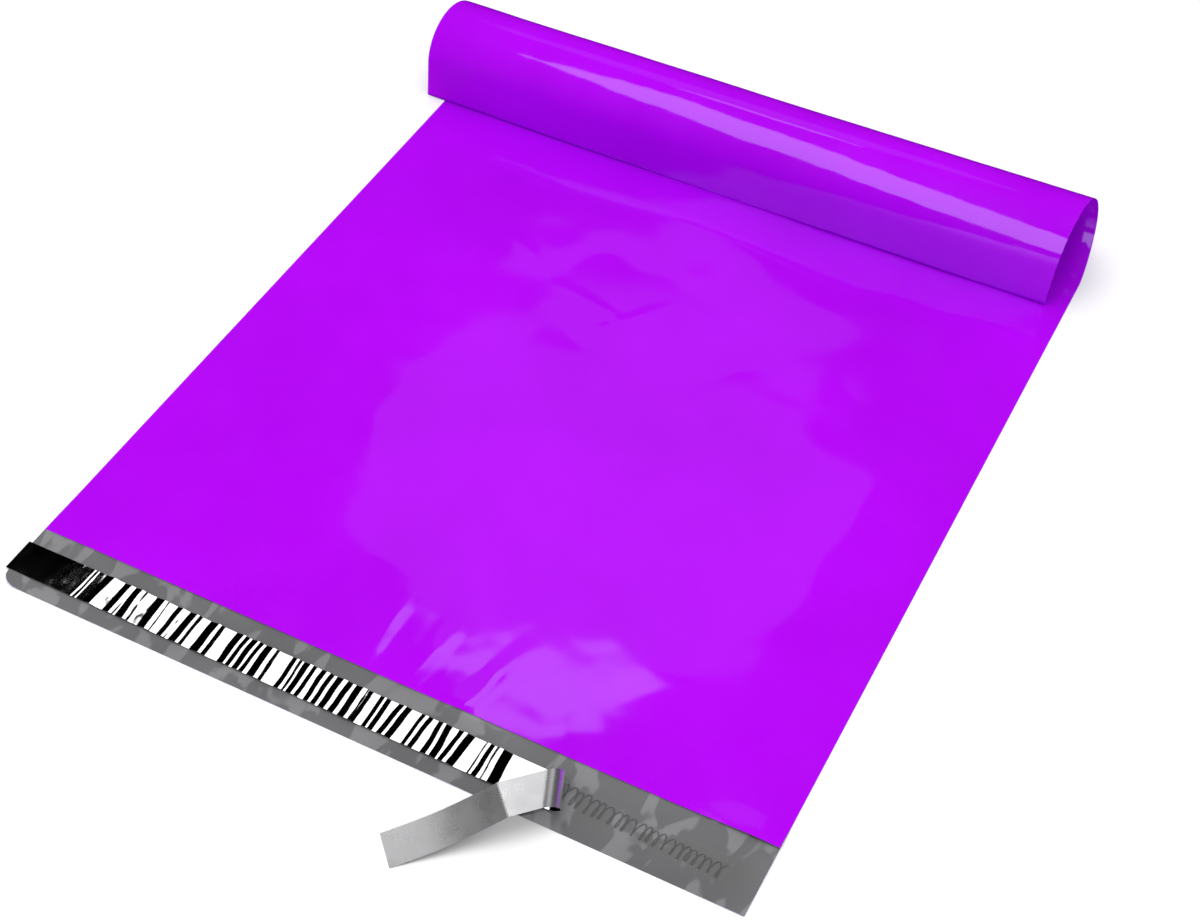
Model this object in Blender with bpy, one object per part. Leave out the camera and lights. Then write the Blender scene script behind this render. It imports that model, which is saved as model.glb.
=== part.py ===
"""A self-seal poly mailer bag, lying flat with its closed end curled over into an open roll.

The bag film is one sheet of plastic, folded at the bottom and welded along both sides. It is first
built flat, as the bag leaves the machine, and then curled. A band of hot-melt adhesive lies on the
flap, and a release liner covers it. The liner is peeled back from one end: it arches over itself,
crosses the flap's edge and reaches down to the surface that the bag lies on.
"""

import math

import bmesh
import bpy
from mathutils import Vector

# The bag as it is made, in metres. Across runs along the mouth, and along runs from mouth to bottom.
BAG_WIDTH = 0.432
BAG_LENGTH = 0.610
FLAP_DEPTH = 0.040
FILM = 0.00006
POCKET_GAP = 0.0004
SEAM_WIDTH = 0.006

# The curled end. Its front stands on the bag at this distance from the mouth, a little nearer on the
# right, and the bottom edge ends up further left than it started.
FRONT_LEFT = 0.4234
FRONT_RIGHT = 0.4160
BOTTOM_DRIFT = -0.013

# The adhesive band and the release liner, on the flap.
STRIP_CENTRE = -0.0212
ADHESIVE_WIDTH = 0.017
ADHESIVE_THICK = 0.0002
ADHESIVE_MARGIN = 0.006
LINER_WIDTH = 0.020
LINER_THICK = 0.0001
LINER_START = -0.0015
LINER_END = 0.428

# The peeled end of the liner. It leaves the adhesive along a slanting line, turns over on a small
# radius, and has a crease where it starts to come down.
PEEL_AT = 0.319
PEEL_SLANT = math.radians(22.3)
PEEL_RADIUS = 0.0082
CREASE_AT = 0.367

# Pieces that touch are kept this far apart.
CLEARANCE = 0.0003

# How finely the curves are divided.
ROLL_STEPS = 32
PEEL_STEPS = 12
ACROSS_STEPS = 8

BAG_THICK = 2 * FILM + POCKET_GAP
ADHESIVE_Z = FILM + CLEARANCE
LINER_Z = ADHESIVE_Z + ADHESIVE_THICK + CLEARANCE
ROLL_TURN = 1.5 * math.pi


def clear_scene():
    for obj in list(bpy.data.objects):
        bpy.data.objects.remove(obj, do_unlink=True)


def make_material(name, colour, roughness, metallic=0.0):
    material = bpy.data.materials.new(name)
    material.use_nodes = True
    shader = material.node_tree.nodes["Principled BSDF"]
    shader.inputs["Base Color"].default_value = (*colour, 1.0)
    shader.inputs["Roughness"].default_value = roughness
    shader.inputs["Metallic"].default_value = metallic
    return material


def ordered_mesh(name, bm):
    """Makes a mesh whose faces are in a set order, so that every run gives the same one."""
    bm.verts.index_update()
    rings = []
    for face in bm.faces:
        ring = [vert.index for vert in face.verts]
        first = ring.index(min(ring))
        rings.append(ring[first:] + ring[:first])
    mesh = bpy.data.meshes.new(name)
    mesh.from_pydata([vert.co for vert in bm.verts], [], sorted(rings))
    return mesh


def add_object(name, bm, material):
    bmesh.ops.recalc_face_normals(bm, faces=bm.faces)
    if bm.calc_volume(signed=True) < 0.0:
        bmesh.ops.reverse_faces(bm, faces=bm.faces)
    mesh = ordered_mesh(name, bm)
    bm.free()
    mesh.materials.append(material)
    obj = bpy.data.objects.new(name, mesh)
    bpy.context.scene.collection.objects.link(obj)
    return obj


def extrude(bm, faces, offset):
    """Extrudes the faces by a vector and returns the faces at the far end."""
    edges = list(dict.fromkeys(edge for face in faces for edge in face.edges))
    result = bmesh.ops.extrude_face_region(bm, geom=[*faces, *edges])["geom"]
    verts = [item for item in result if isinstance(item, bmesh.types.BMVert)]
    bmesh.ops.translate(bm, verts=verts, vec=offset)
    return [item for item in result if isinstance(item, bmesh.types.BMFace)]


# ---- The curl of the closed end ----


def roll_front(across):
    """How far from the mouth the roll's front stands: it curves in from the left, then runs straight."""
    left = 1.0 - across / BAG_WIDTH
    return FRONT_RIGHT + (FRONT_LEFT - FRONT_RIGHT) * left * left


def roll_radius(across):
    """The outer radius that brings the bottom edge down onto the sheet, for the bag's own length."""
    # From its front the sheet runs on one radius to the curl's lowest line, turns, and drops one radius.
    rest_height = BAG_THICK + CLEARANCE
    return (BAG_LENGTH - roll_front(across) + rest_height) / (1.0 + ROLL_TURN + 1.0)


def curl(point):
    """Where a point of the flat bag lies once its closed end is curled over."""
    across, along, height = point
    radius = roll_radius(across)
    centre = roll_front(across) + radius
    if along <= centre:
        return Vector((across, along, height))
    turned = (along - centre) / radius
    drift = BOTTOM_DRIFT * (along - centre) / (BAG_LENGTH - centre)
    inner = radius - height
    if turned <= ROLL_TURN:
        behind = inner * math.sin(turned)
        return Vector((across + drift, centre + behind, radius - inner * math.cos(turned)))
    dropped = along - centre - ROLL_TURN * radius
    return Vector((across + drift, centre - inner, radius - dropped))


# ---- The bag film ----


def film_stations():
    """Distances from the mouth at which the flat film is divided, from the flap's edge to the bottom."""
    lift = roll_front(0.0) + roll_radius(0.0)
    turn = ROLL_TURN * roll_radius(0.0) / ROLL_STEPS
    stations = [-FLAP_DEPTH, 0.0, 0.5 * lift]
    stations += [lift + turn * step for step in range(-1, ROLL_STEPS + 1)]
    return stations + [BAG_LENGTH - FILM, BAG_LENGTH]


def film_section(bm):
    """Makes the bag's section at the left edge, with the gap between the plies, and returns its faces."""
    heights = (0.0, FILM, FILM + POCKET_GAP, BAG_THICK)
    stations = film_stations()
    grid = {}

    def corner(column, row):
        if (column, row) not in grid:
            grid[column, row] = bm.verts.new((0.0, stations[column], heights[row]))
        return grid[column, row]

    faces = []
    for column in range(len(stations) - 1):
        rows = 1 if stations[column] < 0.0 else 3
        for row in range(rows):
            ring = ((column, row), (column + 1, row), (column + 1, row + 1), (column, row + 1))
            faces.append(bm.faces.new([corner(*place) for place in ring]))
    return faces


def make_bag_film():
    """The sheet is modelled flat to its middle line, mirrored, and then curled."""
    bm = bmesh.new()
    seam = extrude(bm, film_section(bm), (SEAM_WIDTH, 0.0, 0.0))
    # Past the weld only the plies go on, and the gap's faces stay behind as the pocket's side wall.
    plies = [face for face in seam if not is_pocket_face(face)]
    step = (0.5 * BAG_WIDTH - SEAM_WIDTH) / (ACROSS_STEPS // 2)
    for _ in range(ACROSS_STEPS // 2):
        plies = extrude(bm, plies, (step, 0.0, 0.0))
    bmesh.ops.delete(bm, geom=plies, context="FACES_ONLY")
    mirror_right_half(bm)
    for vert in bm.verts:
        vert.co = curl(vert.co)
    return add_object("bag_film", bm, make_material("bag_film", (0.43, 0.02, 1.0), 0.3))


def is_pocket_face(face):
    """Whether a face of the section lies in the gap between the two plies."""
    centre = face.calc_center_median()
    in_gap = FILM < centre.z < FILM + POCKET_GAP
    return in_gap and 0.0 < centre.y < BAG_LENGTH - FILM


def mirror_right_half(bm):
    """Copies the left half of the flat bag to the right and joins the two along the middle."""
    geom = list(bm.verts) + list(bm.edges) + list(bm.faces)
    copy = bmesh.ops.duplicate(bm, geom=geom)["geom"]
    verts = [item for item in copy if isinstance(item, bmesh.types.BMVert)]
    faces = [item for item in copy if isinstance(item, bmesh.types.BMFace)]
    bmesh.ops.scale(bm, verts=verts, vec=(-1.0, 1.0, 1.0))
    bmesh.ops.translate(bm, verts=verts, vec=(BAG_WIDTH, 0.0, 0.0))
    bmesh.ops.reverse_faces(bm, faces=faces)
    bmesh.ops.remove_doubles(bm, verts=bm.verts, dist=FILM / 10)


# ---- The adhesive and the liner ----


def make_adhesive():
    bm = bmesh.new()
    bmesh.ops.create_cube(bm, size=1.0)
    length = BAG_WIDTH - 2 * ADHESIVE_MARGIN
    bmesh.ops.scale(bm, verts=bm.verts, vec=(length, ADHESIVE_WIDTH, ADHESIVE_THICK))
    middle = (0.5 * BAG_WIDTH, STRIP_CENTRE, ADHESIVE_Z + 0.5 * ADHESIVE_THICK)
    bmesh.ops.translate(bm, verts=bm.verts, vec=middle)
    return add_object("adhesive_strip", bm, make_material("adhesive", (0.2, 0.2, 0.21), 0.35))


def fold_distance(across, along):
    """How far past the peel line a point of the flat liner lies, square to that line."""
    slanted = (along - STRIP_CENTRE) * math.sin(PEEL_SLANT)
    return (across - PEEL_AT) * math.cos(PEEL_SLANT) + slanted


def peel(point):
    """Where a point of the flat liner lies once its end is peeled back and laid over the flap."""
    across, along, height = point
    past = fold_distance(across, along)
    if past <= 0.0:
        return Vector((across, along, LINER_Z + height))
    turned = min(past / PEEL_RADIUS, math.pi)
    inner = PEEL_RADIUS - height
    reach = inner * math.sin(turned) - (past - turned * PEEL_RADIUS)
    square = Vector((math.cos(PEEL_SLANT), math.sin(PEEL_SLANT), 0.0))
    foot = Vector((across, along, LINER_Z)) - square * past
    placed = foot + square * reach
    placed.z += PEEL_RADIUS - inner * math.cos(turned)
    beyond = across - CREASE_AT
    if beyond <= 0.0:
        return placed
    # Past the crease the end comes straight down, until it rests on the surface below the bag.
    back = Vector((-math.cos(2 * PEEL_SLANT), -math.sin(2 * PEEL_SLANT), 0.0))
    top = LINER_Z + 2 * PEEL_RADIUS
    fall = math.asin((top - LINER_THICK) / (LINER_END - CREASE_AT))
    below = top - placed.z
    placed += back * (beyond * (math.cos(fall) - 1.0) - below * math.sin(fall))
    placed.z = top - beyond * math.sin(fall) - below * math.cos(fall)
    return placed


def make_liner():
    bm = bmesh.new()
    edges = (STRIP_CENTRE + 0.5 * LINER_WIDTH, STRIP_CENTRE - 0.5 * LINER_WIDTH)
    slope = math.tan(PEEL_SLANT)
    columns = [(LINER_START, LINER_START)]
    for step in range(PEEL_STEPS + 1):
        past = math.pi * PEEL_RADIUS * step / PEEL_STEPS
        middle = PEEL_AT + past / math.cos(PEEL_SLANT)
        columns.append(tuple(middle - (edge - STRIP_CENTRE) * slope for edge in edges))
    columns += [(CREASE_AT, CREASE_AT), (LINER_END, LINER_END)]
    rungs = [[bm.verts.new((x, y, 0.0)) for x, y in zip(column, edges)] for column in columns]
    faces = [bm.faces.new((*a, *reversed(b))) for a, b in zip(rungs, rungs[1:])]
    extrude(bm, faces, (0.0, 0.0, LINER_THICK))
    for vert in bm.verts:
        vert.co = peel(vert.co)
    return add_object("release_liner", bm, make_material("liner", (0.75, 0.75, 0.76), 0.15, 1.0))


def centre_on_floor(objects):
    """Moves the whole object so that the origin is the middle of its box, on the surface it lies on."""
    corners = [vert.co for obj in objects for vert in obj.data.vertices]
    low = Vector([min(corner[axis] for corner in corners) for axis in range(3)])
    high = Vector([max(corner[axis] for corner in corners) for axis in range(3)])
    shift = Vector((-0.5 * (low.x + high.x), -0.5 * (low.y + high.y), -low.z))
    for obj in objects:
        obj.location = shift


def main():
    clear_scene()
    centre_on_floor([make_bag_film(), make_adhesive(), make_liner()])


main()
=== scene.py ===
"""A poly mailer bag: one long sheet of two-coloured film, folded across its bottom and welded down its sides.

The flap at its mouth carries a band of hot-melt adhesive under a silvery release liner, whose right end is
peeled back. The far end of the bag is curled up into a loose roll.

Every length is in metres. Bag coordinates start at the mouth's left corner: across runs along the mouth,
along runs from the mouth to the bottom, and height is up from the underside.
"""
import math
import random

import bmesh
import bpy
from bpy.props import FloatProperty, FloatVectorProperty, PointerProperty
from bpy.types import Operator, Panel, PropertyGroup
from mathutils import Matrix, Vector, kdtree, noise


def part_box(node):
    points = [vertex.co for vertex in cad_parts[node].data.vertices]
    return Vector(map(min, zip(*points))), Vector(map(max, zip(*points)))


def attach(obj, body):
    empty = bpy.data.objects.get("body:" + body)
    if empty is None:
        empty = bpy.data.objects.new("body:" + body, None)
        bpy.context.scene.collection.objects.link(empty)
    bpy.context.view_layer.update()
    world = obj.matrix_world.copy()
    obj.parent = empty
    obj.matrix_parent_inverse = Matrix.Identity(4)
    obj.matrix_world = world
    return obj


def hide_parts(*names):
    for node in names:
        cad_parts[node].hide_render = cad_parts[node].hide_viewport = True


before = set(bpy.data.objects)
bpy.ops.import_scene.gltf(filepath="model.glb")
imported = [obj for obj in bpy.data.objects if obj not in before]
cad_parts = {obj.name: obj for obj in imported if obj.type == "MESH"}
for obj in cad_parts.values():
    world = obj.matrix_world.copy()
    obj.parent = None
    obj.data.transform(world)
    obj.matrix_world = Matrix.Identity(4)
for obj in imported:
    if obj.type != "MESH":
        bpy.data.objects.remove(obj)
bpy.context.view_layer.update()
FILM_LOW, FILM_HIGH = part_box("bag_film")

bl_info = {
    "name": "Poly mailer bag",
    "version": (1, 0, 0),
    "blender": (4, 5, 0),
    "location": "3D View > Sidebar > Mailer bag",
    "description": "Builds a self-seal poly mailer bag: its film, adhesive, release liner and studio",
    "category": "Object",
}

# The bag, as in its CAD source.
BAG_WIDTH = 0.432
BAG_LENGTH = 0.610
FLAP_DEPTH = 0.040
FILM_THICK = 0.00006
BAG_THICK = 0.00052
SEAM_WIDTH = 0.006
SHEET_LENGTH = 2 * BAG_LENGTH + FLAP_DEPTH

# The roll at the far end.
FRONT_LEFT = 0.4234
FRONT_RIGHT = 0.4160
BOTTOM_DRIFT = -0.013
ROLL_TURN = 1.5 * math.pi
CLEARANCE = 0.0003
ROLL_STARTS = (0.400, 0.440)  # the stretch over which the plies come together, before the roll
DENTS_START = (0.455, 0.500)  # and over which the roll's own unevenness sets in

# The adhesive band and its liner, on the flap.
STRIP_CENTRE = -0.0212
ADHESIVE_WIDTH = 0.017
ADHESIVE_MARGIN = 0.006
ADHESIVE_HEIGHT = 0.00036
ADHESIVE_THICK = 0.00012
LINER_WIDTH = 0.020
LINER_THICK = 0.0001
LINER_START = -0.0015
LINER_END = 0.428
LINER_HEIGHT = 0.00086

# The adhesive's looping bead: where it runs from and to, and the size and number of its loops.
BEAD_START = 0.3265
BEAD_END = 0.4140
BEAD_LEFT = -0.0190
BEAD_RIGHT = -0.0240
BEAD_TALL = 0.0050
BEAD_SWING = 0.00125
BEAD_LEAN = 0.10
BEAD_WIDTH = 0.00040
BEAD_LOOPS = 21
BEAD_STEPS = 60

# The peel: where the liner leaves the adhesive, and the crease in its loose end.
PEEL_AT = 0.319
PEEL_SLANT = math.radians(22.3)
PEEL_RADIUS = 0.0082
CREASE_AT = 0.367
LOOSE_SAG = 0.0026

# The flap and the mouth.
CORNER_RADIUS = 0.011
CORNER_CURL = 0.0018
MOUTH_LIP = 0.0012
POUCH_GAP = 0.0004
WELD_GAP = 0.00011

# The waves in each sheet, as (height, distance between hills, seed).
FLAP_SWELL = (0.0009, 0.075, 3.1)
FLAP_RIPPLE = (0.00022, 0.021, 8.4)
ROLL_DENT = (0.00035, 0.060, 5.5)
ROLL_RIPPLE = (0.00010, 0.017, 2.2)
POCKET_SWELL = (0.0021, 0.115, 1.3)
POCKET_RIPPLE = (0.00034, 0.034, 6.7)
POCKET_CRINKLE = (0.00006, 0.011, 9.2)
LINER_CRINKLE = (0.00006, 0.0070, 4.4)
LINER_CREPE = (0.00002, 0.0030, 7.7)
ADHESIVE_CRUMBS = (0.0005, 0.0013, 6.6)

# The liner's ripples: the ranges they are drawn from, and the half width and height of the finest.
RIPPLE_HALF_WIDTHS = (0.0034, 0.0062)
RIPPLE_STEEPNESSES = (0.110, 0.180)
RIPPLE_LEANS = (-0.06, 0.10)
RIPPLE_BENDS = (-0.25, 0.25)
RIPPLE_SPACINGS = (1.9, 2.9)
RIPPLES_FROM = 0.0540
RIPPLES_TO = PEEL_AT - 0.028
FINE_RIPPLE = (0.0008, 0.00006)
FINE_RIPPLE_SHARE = 0.4

# Bag coordinates' origin, from the film's box: its right side, and the flap's front edge.
ORIGIN = Vector((FILM_HIGH.x - BAG_WIDTH, FILM_LOW.y + FLAP_DEPTH, 0.0))

# The steps of each sheet's grid, as (end of the stretch, steps in it), and the rows of the two strips.
FILM_ACROSS = [(SEAM_WIDTH, 3), (BAG_WIDTH - SEAM_WIDTH, 132), (BAG_WIDTH, 3)]
FILM_WAY = [
    (0.030, 14),
    (0.420, 136),
    (0.600, 48),
    (BAG_LENGTH, 5),
    (0.620, 5),
    (0.810, 64),
    (1.190, 20),
    (SHEET_LENGTH, 40),
]
BARE_FROM = PEEL_AT - 0.002
ADHESIVE_ACROSS = [(BARE_FROM, 150), (BAG_WIDTH - ADHESIVE_MARGIN, 340)]
ADHESIVE_ROWS = 48
LINER_WAY = [(PEEL_AT + 0.006, 700), (CREASE_AT, 70), (LINER_END, 60)]
LINER_ROWS = 24

# The Mix node's colour sockets by number, because their names are shared with its other sockets.
MIX_FIRST, MIX_SECOND, MIX_RESULT = 6, 7, 2

# The studio, in bag coordinates.
DOWN, ALONG_MOUTH = (0.0, 0.0, -1.0), (1.0, 0.0, 0.0)
WORLD_STRENGTH = 0.84
CAMERA_LENS = 60.385
CAMERA_PLACE = (0.59132, -0.48995, 0.82166)
CAMERA_DIP = math.radians(47.294)
CAMERA_TURN = math.radians(27.4716)

# The light that shows no glint: name, centre, facing, first side, size, radiance.
OVERHEAD = ("Overhead", (0.18, 0.08, 1.4), DOWN, ALONG_MOUTH, (1.1, 1.1), 2.6)

# Lights that only show as glints: those that light the liner alone, and then those that light every piece.
LINER_LIGHTS = [
    ("Liner glints", (-0.49, 0.78, 1.5), DOWN, ALONG_MOUTH, (0.82, 0.64), 1.6),
    ("Curl fill", (0.55, 1.15, 0.85), (-0.24, -1.17, -0.85), ALONG_MOUTH, (0.70, 0.80), 0.6),
    ("Tab fill", (-0.98, 0.44, 1.5), DOWN, ALONG_MOUTH, (0.46, 0.44), 1.25),
]
GLINT_LIGHTS = [
    ("Mouth glints", (-0.28, 0.975, 1.5), DOWN, ALONG_MOUTH, (0.28, 0.15), 1.5, "ELLIPSE"),
    ("Faint sheen", (-0.38, 1.42, 1.5), DOWN, ALONG_MOUTH, (0.90, 0.80), 0.18, "ELLIPSE"),
    (
        "Roll streak", (-0.3104, -0.6902, 1.3352), (-0.726, 0.343, -0.597), (0.5182, -0.3294, -0.8198),
        (2.820, 1.190), 2.5,
    ),
]


# ---------------------------------------------------------------- shapes of the sheet


def ease(value, low, high):
    """From 0 at low to 1 at high, with a smooth start and end."""
    t = min(1.0, max(0.0, (value - low) / (high - low)))
    return t * t * (3.0 - 2.0 * t)


def wave(across, along, kind, lift=0.0):
    """The height of a smooth random wave, whose hills and hollows are about 0.6 of its stated height.

    lift raises all of it, as a share of that height.
    """
    height, pitch, seed = kind
    return height * (noise.noise(Vector((across / pitch, along / pitch, seed))) + lift)


def hump(off):
    """A smooth rise from 0 at -1 to 1 at 0, and down to 0 again at 1."""
    return 0.5 * (1.0 + math.cos(math.pi * min(1.0, abs(off))))


def roll_front(across):
    """Where the roll's front touches the flat stretch."""
    left = 1.0 - across / BAG_WIDTH
    return FRONT_RIGHT + (FRONT_LEFT - FRONT_RIGHT) * left * left


def roll_radius(across):
    """The roll's radius that uses up the film past its front, with its end standing on the bag."""
    return (BAG_LENGTH - roll_front(across) + BAG_THICK + CLEARANCE) / (2.0 + ROLL_TURN)


def curl(across, along, height):
    """A point of the flat bag, placed on the rolled one."""
    radius = roll_radius(across)
    centre = roll_front(across) + radius
    if along <= centre:
        return Vector((across, along, height))
    turned = (along - centre) / radius
    drift = BOTTOM_DRIFT * (along - centre) / (BAG_LENGTH - centre)
    inner = radius - height
    if turned <= ROLL_TURN:
        return Vector((across + drift, centre + inner * math.sin(turned), radius - inner * math.cos(turned)))
    dropped = along - centre - ROLL_TURN * radius
    return Vector((across + drift, centre - inner, radius - dropped))


def flap_wave(across, along):
    """How far the flap stands off the floor: low swells, and its left corner curling up."""
    waves = wave(across, along, FLAP_SWELL, lift=0.35) + wave(across, along, FLAP_RIPPLE)
    corner = CORNER_CURL * (1.0 - ease(across, 0.0, 0.020)) * (1.0 - ease(along, -FLAP_DEPTH, -0.022))
    return max(0.0, waves) * (1.0 - ease(along, -0.004, 0.030)) + corner


def back_height(across, along):
    """The back ply's height: on the floor, up to the flap's waves, and a little uneven on the roll."""
    on_roll = ease(along, *DENTS_START)
    dents = wave(across, along, ROLL_DENT, lift=0.5) + wave(across, along, ROLL_RIPPLE)
    return FILM_THICK + flap_wave(across, along) + on_roll * max(0.0, dents)


# Creases that fan up from the mouth, and fainter ones nearer the roll, as (from, to, half width, height).
WRINKLES = [
    ((0.2005, -0.002), (0.1960, 0.060), 0.0060, 0.00030),
    ((0.2250, -0.004), (0.2300, 0.052), 0.0075, 0.00034),
    ((0.2570, -0.004), (0.2700, 0.058), 0.0080, 0.00040),
    ((0.3150, -0.004), (0.3000, 0.034), 0.0080, 0.00016),
    ((0.1500, 0.300), (0.2150, 0.285), 0.0060, 0.00016),
    ((0.1900, 0.270), (0.2250, 0.318), 0.0070, 0.00018),
    ((0.1000, 0.330), (0.1500, 0.300), 0.0070, 0.00016),
]


def wrinkle(across, along):
    """The height of all the creases at a point. Each fades towards its ends."""
    total = 0.0
    for start, end, half_width, height in WRINKLES:
        run = Vector((end[0] - start[0], end[1] - start[1]))
        from_start = Vector((across - start[0], along - start[1]))
        share = from_start.dot(run) / run.length_squared
        off = from_start.cross(run) / run.length / half_width
        fade = ease(share, -0.1, 0.2) * (1.0 - ease(share, 0.5, 1.0))
        total += height * fade * hump(off)
    return total


def ply_gap(across, along):
    """The air between the two plies: hardly any at the welds and the bottom fold, and low waves between."""
    edge = min(across, BAG_WIDTH - across)
    free = ease(edge, SEAM_WIDTH * 0.5, 0.055) * ease(BAG_LENGTH - along, 0.0, 0.030)
    on_flat = 1.0 - ease(along, *ROLL_STARTS)
    inland = 0.10 + 0.90 * ease(along, 0.0, 0.075)
    waves = inland * (wave(across, along, POCKET_SWELL, lift=0.45) + wave(across, along, POCKET_RIPPLE))
    fine = wave(across, along, POCKET_CRINKLE) * (1.0 - ease(along, 0.03, 0.09))
    open_air = max(0.0, waves + fine) * free * on_flat
    unwelded = ease(edge, SEAM_WIDTH * 0.4, SEAM_WIDTH * 1.2) * ease(BAG_LENGTH - along, 0.0, 0.004)
    lip = MOUTH_LIP * ease(across, 0.385, 0.415) * (1.0 - ease(along, 0.0, 0.018))
    return WELD_GAP + POUCH_GAP * unwelded + open_air + wrinkle(across, along) * free + lip


def flap_cut(across):
    """The flap's depth, less where its left corner is rounded."""
    inset = max(0.0, CORNER_RADIUS - across)
    return FLAP_DEPTH - CORNER_RADIUS + math.sqrt(CORNER_RADIUS**2 - inset**2)


def film_place(across, way):
    """A point of the film's sheet. Its way runs up the front ply, round the bottom and down the back one."""
    if way <= BAG_LENGTH:
        along = way
        height = back_height(across, along) + ply_gap(across, along)
    else:
        along = 2 * BAG_LENGTH - way
        if along < 0.0:
            along *= flap_cut(across) / FLAP_DEPTH
        height = back_height(across, along)
    return curl(across, along, height)


# ---------------------------------------------------------------- shapes of the strip


def fold_distance(across, along):
    """How far a point of the flat liner lies past the slanting line where it leaves the adhesive."""
    return (across - PEEL_AT) * math.cos(PEEL_SLANT) + (along - STRIP_CENTRE) * math.sin(PEEL_SLANT)


def peel(across, along, height):
    """A point of the flat liner, placed on the peeled one: round the peel, level, then down."""
    past = fold_distance(across, along)
    if past <= 0.0:
        return Vector((across, along, LINER_HEIGHT + height))
    turned = min(past / PEEL_RADIUS, math.pi)
    inner = PEEL_RADIUS - height
    reach = inner * math.sin(turned) - (past - turned * PEEL_RADIUS)
    square = Vector((math.cos(PEEL_SLANT), math.sin(PEEL_SLANT), 0.0))
    placed = Vector((across, along, LINER_HEIGHT)) + square * (reach - past)
    placed.z += PEEL_RADIUS - inner * math.cos(turned)
    beyond = across - CREASE_AT
    if beyond <= 0.0:
        return placed
    back = Vector((-math.cos(2 * PEEL_SLANT), -math.sin(2 * PEEL_SLANT), 0.0))
    top = LINER_HEIGHT + 2 * PEEL_RADIUS
    run = LINER_END - CREASE_AT
    fall = math.asin((top - LINER_THICK) / run)
    below = top - placed.z
    sag = LOOSE_SAG * math.sin(math.pi * min(1.0, beyond / run))
    placed += back * (beyond * (math.cos(fall) - 1.0) - below * math.sin(fall))
    placed.z = top - beyond * math.sin(fall) - below * math.cos(fall) - sag
    return placed


def liner_ripples():
    """The liner's crosswise ripples, as (place, half width, height, lean, bend)."""
    pick = random.Random(11)
    ripples = [(0.0415, 0.0009, 0.00007, 0.08, 0.1), (0.0440, *FINE_RIPPLE, 0.05, 0.1)]
    place = RIPPLES_FROM
    while place < RIPPLES_TO:
        half_width = pick.uniform(*RIPPLE_HALF_WIDTHS)
        height = half_width * pick.uniform(*RIPPLE_STEEPNESSES)
        lean = pick.uniform(*RIPPLE_LEANS)
        ripples.append((place, half_width, height, lean, pick.uniform(*RIPPLE_BENDS)))
        if pick.random() < FINE_RIPPLE_SHARE:
            ripples.append((place + half_width * pick.uniform(0.2, 1.2), *FINE_RIPPLE, lean, 0.1))
        place += half_width * pick.uniform(*RIPPLE_SPACINGS)
    return ripples


RIPPLES = liner_ripples()


def liner_lift(across, along):
    """The liner's height above its flat lie: ripples, and small uneven crinkles between them."""
    side = (along - STRIP_CENTRE) / LINER_WIDTH
    total = 0.0
    for place, half_width, height, lean, bend in RIPPLES:
        centre = place + lean * (along - STRIP_CENTRE) + 0.0014 * bend * math.cos(5.0 * side + 9.0 * bend)
        total += height * hump((across - centre) / (half_width * (1.0 + 0.5 * bend * side)))
    crinkles = wave(across, along, LINER_CRINKLE, lift=1.0) + wave(across, along, LINER_CREPE)
    return total + crinkles * (1.0 - ease(across, PEEL_AT - 0.035, PEEL_AT - 0.015))


# ---------------------------------------------------------------- mesh helpers


def step_places(stops, start=0.0):
    """Every step's place along a side, from its start and its (end of the stretch, steps in it) stops."""
    places = [start]
    for end, steps in stops:
        places += [start + (end - start) * (i + 1) / steps for i in range(steps)]
        start = end
    return places


def laid_sheet(across_places, way_places, place, mark=None):
    """A grid of the given steps, with its flat lie kept as a UV map in metres and each point then placed.

    mark is an attribute to keep on it, as its name and the function that gives it at a flat point.
    """
    columns, rows = len(across_places) - 1, len(way_places) - 1
    bm = bmesh.new()
    marked = bm.verts.layers.float.new(mark[0]) if mark else None
    bmesh.ops.create_grid(bm, x_segments=columns, y_segments=rows, size=1.0)
    flat = {}
    for vert in bm.verts:
        column = round((vert.co.x + 1.0) / 2.0 * columns)
        row = round((vert.co.y + 1.0) / 2.0 * rows)
        flat[vert] = (across_places[column], way_places[row])
        if mark:
            vert[marked] = mark[1](*flat[vert])
    uv = bm.loops.layers.uv.new("lay")
    for face in bm.faces:
        face.smooth = True
        for loop in face.loops:
            loop[uv].uv = flat[loop.vert]
    for edge in bm.edges:
        edge.smooth = not edge.is_boundary
    for vert in bm.verts:
        vert.co = ORIGIN + place(*flat[vert])
    return bm


def finished_object(name, bm):
    """An object made from the mesh, in the scene."""
    mesh = bpy.data.meshes.new(name)
    bm.to_mesh(mesh)
    bm.free()
    obj = bpy.data.objects.new(name, mesh)
    bpy.context.scene.collection.objects.link(obj)
    return obj


def give_thickness(obj, thickness, back_finish=0, rim_finish=0):
    """A solid sheet, grown away from its face. The finishes are places in its list of materials."""
    solid = obj.modifiers.new("Sheet thickness", "SOLIDIFY")
    solid.thickness = thickness
    solid.offset = -1.0
    solid.use_rim = True
    solid.material_offset = back_finish
    solid.material_offset_rim = rim_finish


# ---------------------------------------------------------------- finishes


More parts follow.
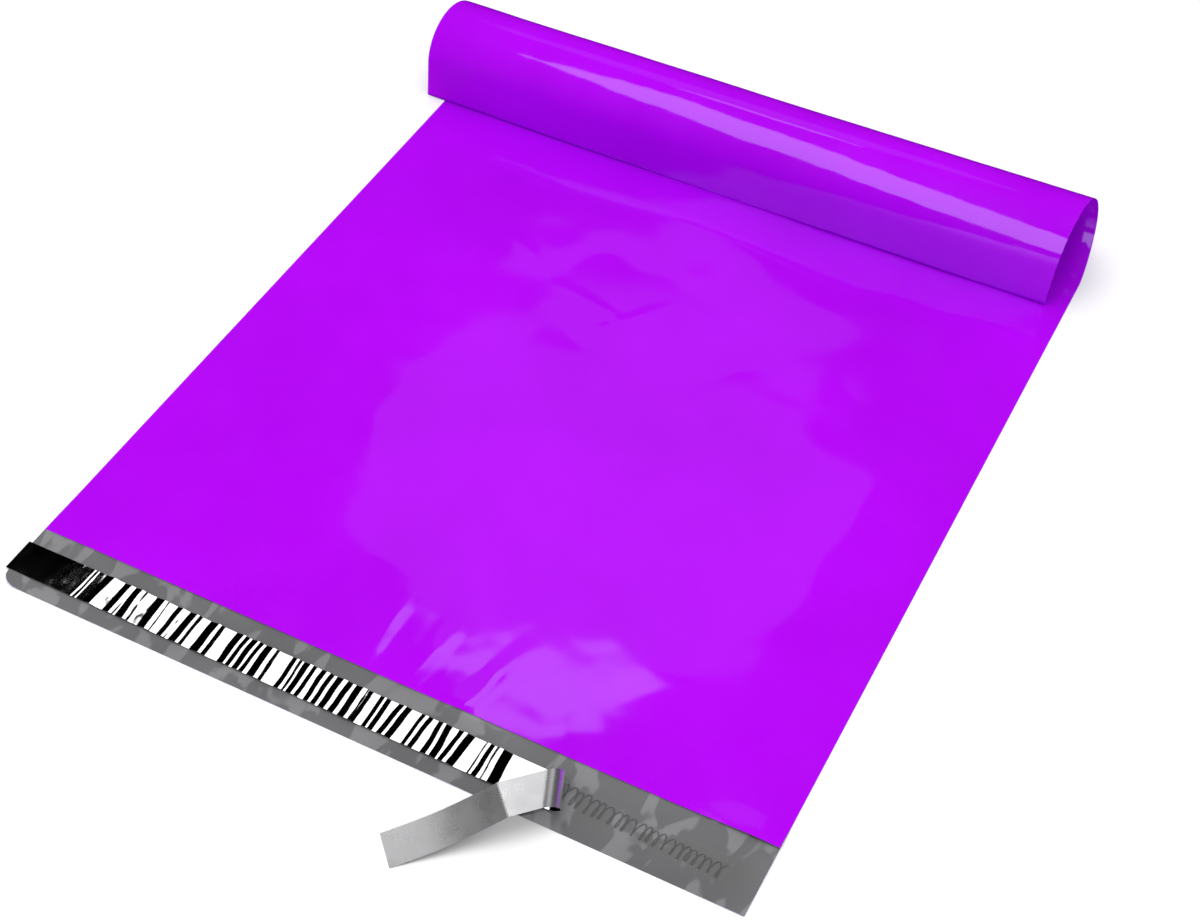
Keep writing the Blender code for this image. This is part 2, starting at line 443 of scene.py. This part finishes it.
class Finish:
    """A material's nodes, added one after another."""

    def __init__(self, name):
        self.material = bpy.data.materials.new(name)
        self.material.use_nodes = True
        self.tree = self.material.node_tree
        self.shader = self.tree.nodes["Principled BSDF"]
        self.coords = self.tree.nodes.new("ShaderNodeTexCoord")

    def node(self, kind, **values):
        made = self.tree.nodes.new(kind)
        for key, value in values.items():
            setattr(made, key, value)
        return made

    def join(self, source, target):
        self.tree.links.new(source, target)

    def socket(self, name, value):
        self.shader.inputs[name].default_value = value

    def place(self, scale, uv=False, turn=0.0):
        """Coordinates with their own scale on each axis."""
        mapping = self.node("ShaderNodeMapping")
        mapping.inputs["Scale"].default_value = scale
        mapping.inputs["Rotation"].default_value = (0.0, 0.0, turn)
        self.join(self.coords.outputs["UV" if uv else "Object"], mapping.inputs["Vector"])
        return mapping.outputs["Vector"]

    def noise(self, vector, detail=2.0, distortion=0.0):
        made = self.node("ShaderNodeTexNoise")
        made.inputs["Scale"].default_value = 1.0
        made.inputs["Detail"].default_value = detail
        made.inputs["Distortion"].default_value = distortion
        self.join(vector, made.inputs["Vector"])
        return made.outputs["Fac"]

    def span(self, value, source, target, smooth=False):
        """The value's range from source made into target."""
        made = self.node("ShaderNodeMapRange")
        made.interpolation_type = "SMOOTHSTEP" if smooth else "LINEAR"
        for key, number in zip(("From Min", "From Max", "To Min", "To Max"), (*source, *target)):
            made.inputs[key].default_value = number
        self.join(value, made.inputs["Value"])
        return made.outputs["Result"]

    def blend(self, share, first, second):
        """A colour from first to second, each a colour or a socket."""
        made = self.node("ShaderNodeMix", data_type="RGBA")
        self.join(share, made.inputs["Factor"])
        for key, colour in ((MIX_FIRST, first), (MIX_SECOND, second)):
            if isinstance(colour, bpy.types.NodeSocket):
                self.join(colour, made.inputs[key])
            else:
                made.inputs[key].default_value = (*colour[:3], 1.0)
        return made.outputs[MIX_RESULT]

    def relief(self, height, strength, distance, under=None):
        made = self.node("ShaderNodeBump")
        made.inputs["Strength"].default_value = strength
        made.inputs["Distance"].default_value = distance
        self.join(height, made.inputs["Height"])
        if under is not None:
            self.join(under, made.inputs["Normal"])
        return made.outputs["Normal"]


def shade(colour, factor):
    """The colour, lighter or darker by a factor."""
    return tuple(min(1.0, c * factor) for c in colour[:3])


def film_outside(colours):
    """The purple skin: clouded a little by uneven film, with faint drawn lines down its length."""
    f = Finish("Film outside")
    cloud = f.noise(f.place((9.0, 9.0, 9.0)), detail=3.0)
    share = f.span(cloud, (0.3, 0.7), (0.0, 1.0), smooth=True)
    colour = f.blend(share, shade(colours.outside, 0.95), shade(colours.outside, 1.04))
    f.join(colour, f.shader.inputs["Base Color"])
    haze = f.noise(f.place((34.0, 34.0, 34.0)), detail=4.0)
    f.join(f.span(haze, (0.3, 0.7), (0.045, 0.085)), f.shader.inputs["Roughness"])
    drawn = f.noise(f.place((520.0, 9.0, 1.0), uv=True), detail=2.0)
    grain = f.noise(f.place((1500.0, 1500.0, 1500.0)), detail=1.0)
    first = f.relief(drawn, 0.10, 0.00002)
    f.join(f.relief(grain, 0.06, 0.00001, first), f.shader.inputs["Normal"])
    f.socket("IOR", 1.5)
    return f.material


def mottled_with_painted_glare(f, colour):
    """A grey with hazier, lighter patches, the lighter grey being painted glare that stands in for
    reflections of the soft lights, as its colour and the patches themselves.
    """
    haze_and_painted_glare = f.noise(f.place((62.0, 34.0, 40.0), turn=0.35), detail=2.0, distortion=0.6)
    share = f.span(haze_and_painted_glare, (0.50, 0.57), (0.0, 1.0), smooth=True)
    cloud = f.span(f.noise(f.place((14.0, 14.0, 14.0)), detail=3.0), (0.35, 0.65), (0.0, 1.0))
    base = f.blend(cloud, shade(colour, 0.80), shade(colour, 1.02))
    # painted glare: these lighter greys stand in for reflections of the soft lights in the film
    painted_glare = f.blend(cloud, shade(colour, 1.24), shade(colour, 1.50))
    return f.blend(share, base, painted_glare), haze_and_painted_glare


def film_inside(colours):
    """The grey skin, which the flap shows: softly mottled, with clearer and hazier patches, the hazier ones
    painted lighter as glare.
    """
    f = Finish("Film inside")
    colour, haze_and_painted_glare = mottled_with_painted_glare(f, colours.inside)
    f.join(colour, f.shader.inputs["Base Color"])
    f.join(f.span(haze_and_painted_glare, (0.35, 0.65), (0.05, 0.12)), f.shader.inputs["Roughness"])
    drawn = f.noise(f.place((480.0, 12.0, 1.0), uv=True), detail=2.0)
    crumple = f.noise(f.place((130.0, 130.0, 130.0)), detail=2.0, distortion=0.4)
    first = f.relief(drawn, 0.10, 0.00002)
    f.join(f.relief(crumple, 0.30, 0.00012, first), f.shader.inputs["Normal"])
    f.socket("IOR", 1.7)
    return f.material


def clear_adhesive(colours):
    """Hot-melt adhesive over the grey film: glossy, with painted glare patches, and painted shade where its
    bead stands.
    """
    f = Finish("Hot-melt adhesive")
    bead = f.node("ShaderNodeAttribute", attribute_name="bead").outputs["Fac"]
    plain, haze_and_painted_glare = mottled_with_painted_glare(f, colours.adhesive)
    # painted shade: the bead is darkened in colour, standing in for the shade along its ridges
    f.join(f.blend(bead, plain, shade(colours.adhesive, 0.48)), f.shader.inputs["Base Color"])
    f.join(f.span(haze_and_painted_glare, (0.35, 0.65), (0.06, 0.16)), f.shader.inputs["Roughness"])
    pits = f.noise(f.place((420.0, 420.0, 420.0)), detail=2.0)
    f.join(f.relief(pits, 0.35, 0.00008), f.shader.inputs["Normal"])
    f.socket("IOR", 1.5)
    f.socket("Coat Weight", 0.3)
    return f.material


def liner_front(colours):
    """The liner's mirror-bright face."""
    f = Finish("Release liner face")
    haze = f.noise(f.place((70.0, 70.0, 70.0)), detail=3.0)
    tint = f.span(haze, (0.4, 0.7), (0.0, 1.0))
    f.join(f.blend(tint, colours.liner, shade(colours.liner, 0.93)), f.shader.inputs["Base Color"])
    f.join(f.span(haze, (0.3, 0.7), (0.035, 0.07)), f.shader.inputs["Roughness"])
    lines = f.noise(f.place((900.0, 60.0, 1.0), uv=True), detail=2.0)
    f.join(f.relief(lines, 0.12, 0.00002), f.shader.inputs["Normal"])
    f.socket("Metallic", 1.0)
    return f.material


def liner_back(colours):
    """The liner's release side: a satin silver."""
    f = Finish("Release liner back")
    haze = f.noise(f.place((90.0, 90.0, 90.0)), detail=3.0)
    colour = f.blend(haze, shade(colours.liner, 0.80), shade(colours.liner, 0.88))
    f.join(colour, f.shader.inputs["Base Color"])
    f.join(f.span(haze, (0.3, 0.7), (0.25, 0.31)), f.shader.inputs["Roughness"])
    lines = f.noise(f.place((300.0, 40.0, 1.0), uv=True), detail=1.0)
    f.join(f.relief(lines, 0.05, 0.00002), f.shader.inputs["Normal"])
    f.socket("Metallic", 0.9)
    return f.material


def studio_floor(colours):
    """The floor: a matt white, very faintly uneven."""
    f = Finish("Studio floor")
    tone = f.noise(f.place((1.3, 1.3, 1.3)), detail=2.0)
    colour = f.blend(tone, shade(colours.floor, 0.99), shade(colours.floor, 1.01))
    f.join(colour, f.shader.inputs["Base Color"])
    f.join(f.span(tone, (0.3, 0.7), (0.75, 0.85)), f.shader.inputs["Roughness"])
    f.socket("Specular IOR Level", 0.1)
    return f.material


# ---------------------------------------------------------------- settings


class MailerSizes(PropertyGroup):
    """Sizes a user would change."""

    film_thickness: FloatProperty(
        name="Film thickness", description="Thickness of each ply", default=FILM_THICK, unit="LENGTH"
    )
    bead_height: FloatProperty(
        name="Bead height", description="How far the bead stands up", default=0.00045, unit="LENGTH"
    )
    liner_thickness: FloatProperty(
        name="Liner thickness", description="Thickness of the release liner", default=0.00005, unit="LENGTH"
    )
    floor_size: FloatProperty(
        name="Floor size", description="Side of the square studio floor", default=14.0, unit="LENGTH"
    )


class MailerColours(PropertyGroup):
    """Colours a user would change."""

    outside: FloatVectorProperty(
        name="Outside", description="The film's outer skin", subtype="COLOR", default=(0.405, 0.0022, 0.800)
    )
    inside: FloatVectorProperty(
        name="Inside", description="The film's inner skin, seen on the flap", subtype="COLOR",
        default=(0.158, 0.158, 0.163),
    )
    adhesive: FloatVectorProperty(
        name="Adhesive", description="The adhesive over the grey film", subtype="COLOR",
        default=(0.155, 0.155, 0.159),
    )
    liner: FloatVectorProperty(
        name="Liner", description="The release liner's silver", subtype="COLOR", default=(0.930, 0.930, 0.945)
    )
    floor: FloatVectorProperty(
        name="Floor", description="The studio floor", subtype="COLOR", default=(0.960, 0.960, 0.960)
    )


# ---------------------------------------------------------------- pieces


class MAILER_OT_film(Operator):
    """Fold and roll the bag's film, as one welded sheet"""

    bl_idname = "mailer.film"
    bl_label = "Bag film"

    def execute(self, context):
        sizes, colours = context.scene.mailer_sizes, context.scene.mailer_colours
        bm = laid_sheet(step_places(FILM_ACROSS), step_places(FILM_WAY), film_place)
        film = finished_object("mailer_film", bm)
        film.data.materials.append(film_outside(colours))
        film.data.materials.append(film_inside(colours))
        give_thickness(film, sizes.film_thickness, back_finish=1, rim_finish=1)
        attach(film, "root")
        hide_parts("bag_film")
        return {"FINISHED"}


def bead_line():
    """The adhesive's bead where it is bare, as points close together along one looping line."""
    line = kdtree.KDTree(BEAD_LOOPS * BEAD_STEPS)
    for i in range(BEAD_LOOPS * BEAD_STEPS):
        turn = i / BEAD_STEPS
        share = (turn + 0.5 * noise.noise(Vector((turn * 0.55, 4.2, 0.0)))) / BEAD_LOOPS
        tall = BEAD_TALL * (1.0 + 0.30 * noise.noise(Vector((turn * 0.8, 1.1, 0.0)))) * (1.0 - 0.25 * share)
        swing = BEAD_SWING * (1.0 + 0.4 * noise.noise(Vector((turn * 0.7, 7.7, 0.0))))
        up = tall * math.cos(math.tau * turn)
        across = BEAD_START + (BEAD_END - BEAD_START) * share + swing * math.sin(math.tau * turn)
        along = BEAD_LEFT + (BEAD_RIGHT - BEAD_LEFT) * share + up
        line.insert(Vector((across + BEAD_LEAN * up, along, 0.0)), i)
    line.balance()
    return line


def bead_rise(across, along, line):
    """How much of the bead stands at a point, from 0 to 1."""
    if across < BEAD_START - 0.005:
        return 0.0
    off = line.find(Vector((across, along, 0.0)))[2] / BEAD_WIDTH
    return math.exp(-off * off)


class MAILER_OT_adhesive(Operator):
    """Lay the adhesive band along the flap, with its looped bead where the liner is peeled off it"""

    bl_idname = "mailer.adhesive"
    bl_label = "Adhesive band"

    def execute(self, context):
        sizes, colours = context.scene.mailer_sizes, context.scene.mailer_colours
        low, high = STRIP_CENTRE - ADHESIVE_WIDTH / 2, STRIP_CENTRE + ADHESIVE_WIDTH / 2
        across_places = step_places(ADHESIVE_ACROSS, start=ADHESIVE_MARGIN)
        along_places = step_places([(high, ADHESIVE_ROWS)], start=low)
        line = bead_line()

        def place(across, along):
            rise = sizes.bead_height * bead_rise(across, along, line)
            edge = min(along - low, high - along, BAG_WIDTH - ADHESIVE_MARGIN - across)
            body = ADHESIVE_HEIGHT * (0.35 + 0.65 * ease(edge, 0.0, 0.004))
            crumbs = max(0.0, wave(across, along, ADHESIVE_CRUMBS))
            crumbs *= ease(across, 0.400, 0.406) * ease(edge, 0.003, 0.006)
            return Vector((across, along, body + rise + crumbs + flap_wave(across, along)))

        bead = ("bead", lambda across, along: bead_rise(across, along, line))
        bm = laid_sheet(across_places, along_places, place, mark=bead)
        band = finished_object("adhesive_band", bm)
        band.data.materials.append(clear_adhesive(colours))
        give_thickness(band, ADHESIVE_THICK)
        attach(band, "root")
        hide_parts("adhesive_strip")
        return {"FINISHED"}


class MAILER_OT_liner(Operator):
    """Lay the rippled release liner on the adhesive, and peel back its right end"""

    bl_idname = "mailer.liner"
    bl_label = "Release liner"

    def execute(self, context):
        sizes, colours = context.scene.mailer_sizes, context.scene.mailer_colours
        low, high = STRIP_CENTRE - LINER_WIDTH / 2, STRIP_CENTRE + LINER_WIDTH / 2
        across_places = step_places(LINER_WAY, start=LINER_START)
        along_places = step_places([(high, LINER_ROWS)], start=low)

        def place(across, along):
            held = 1.0 - ease(fold_distance(across, along), -0.012, 0.0)
            placed = peel(across, along, liner_lift(across, along) * held)
            placed.z += flap_wave(across, STRIP_CENTRE) * held
            return placed

        bm = laid_sheet(across_places, along_places, place)
        liner = finished_object("release_liner_strip", bm)
        liner.data.materials.append(liner_front(colours))
        liner.data.materials.append(liner_back(colours))
        give_thickness(liner, sizes.liner_thickness, back_finish=1, rim_finish=1)
        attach(liner, "root")
        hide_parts("release_liner")
        return {"FINISHED"}


# ---------------------------------------------------------------- studio


def softbox(name, centre, facing, along_side, size, radiance, shape="RECTANGLE"):
    """A soft light of the given radiance, with its first side along the given direction."""
    data = bpy.data.lights.new(name, "AREA")
    data.shape = shape
    data.size, data.size_y = size
    area = size[0] * size[1] * (math.pi / 4 if shape in ("DISK", "ELLIPSE") else 1.0)
    data.energy = radiance * math.pi * area
    lamp = bpy.data.objects.new(name, data)
    bpy.context.scene.collection.objects.link(lamp)
    z = -Vector(facing).normalized()
    x = Vector(along_side)
    x = (x - z * x.dot(z)).normalized()
    y = z.cross(x)
    turn = Matrix((x, y, z)).transposed().to_4x4()
    lamp.matrix_world = Matrix.Translation(ORIGIN + Vector(centre)) @ turn
    lamp.visible_camera = False
    return lamp


def glint_light(*settings):
    """A soft light that shows in gloss and not on matt surfaces."""
    lamp = softbox(*settings)
    lamp.visible_diffuse = False
    return lamp


class MAILER_OT_stage(Operator):
    """Set the floor, the soft lights and the camera"""

    bl_idname = "mailer.stage"
    bl_label = "Studio"

    def execute(self, context):
        scene, sizes = context.scene, context.scene.mailer_sizes
        scene.view_settings.view_transform = "Standard"
        bm = bmesh.new()
        bmesh.ops.create_grid(bm, x_segments=8, y_segments=8, size=sizes.floor_size / 2)
        floor = finished_object("studio_floor", bm)
        floor.data.materials.append(studio_floor(scene.mailer_colours))
        floor.visible_glossy = False

        scene.world = world = bpy.data.worlds.new("Studio white")
        world.use_nodes = True
        background = world.node_tree.nodes["Background"]
        background.inputs["Color"].default_value = (1.0, 1.0, 1.0, 1.0)
        background.inputs["Strength"].default_value = WORLD_STRENGTH
        world.cycles_visibility.glossy = False

        softbox(*OVERHEAD).visible_glossy = False
        liner_only = bpy.data.collections.new("Lit by the liner lights")
        liner_only.objects.link(bpy.data.objects["release_liner_strip"])
        for settings in LINER_LIGHTS:
            glint_light(*settings).light_linking.receiver_collection = liner_only
        for settings in GLINT_LIGHTS:
            glint_light(*settings)

        data = bpy.data.cameras.new("Camera")
        data.sensor_width = 36.0
        data.lens = CAMERA_LENS
        data.clip_start, data.clip_end = 0.01, 50.0
        camera = bpy.data.objects.new("Camera", data)
        scene.collection.objects.link(camera)
        camera.location = ORIGIN + Vector(CAMERA_PLACE)
        camera.rotation_euler = (math.pi / 2 - CAMERA_DIP, 0.0, CAMERA_TURN)
        scene.camera = camera
        return {"FINISHED"}


class MAILER_PT_panel(Panel):
    """The bag's pieces, in the order they are made"""

    bl_idname = "MAILER_PT_panel"
    bl_label = "Poly mailer bag"
    bl_space_type = "VIEW_3D"
    bl_region_type = "UI"
    bl_category = "Mailer bag"

    def draw(self, context):
        layout = self.layout
        for group in (context.scene.mailer_sizes, context.scene.mailer_colours):
            box = layout.box()
            for name in group.__annotations__:
                box.prop(group, name)
        for operator in OPERATORS:
            layout.operator(operator.bl_idname)


OPERATORS = (MAILER_OT_film, MAILER_OT_adhesive, MAILER_OT_liner, MAILER_OT_stage)
CLASSES = (MailerSizes, MailerColours, *OPERATORS, MAILER_PT_panel)


def register():
    for cls in CLASSES:
        bpy.utils.register_class(cls)
    bpy.types.Scene.mailer_sizes = PointerProperty(type=MailerSizes)
    bpy.types.Scene.mailer_colours = PointerProperty(type=MailerColours)


def unregister():
    del bpy.types.Scene.mailer_colours
    del bpy.types.Scene.mailer_sizes
    for cls in reversed(CLASSES):
        bpy.utils.unregister_class(cls)


def main():
    register()
    bpy.ops.mailer.film()
    bpy.ops.mailer.adhesive()
    bpy.ops.mailer.liner()
    bpy.ops.mailer.stage()


if __name__ == "__main__":
    main()
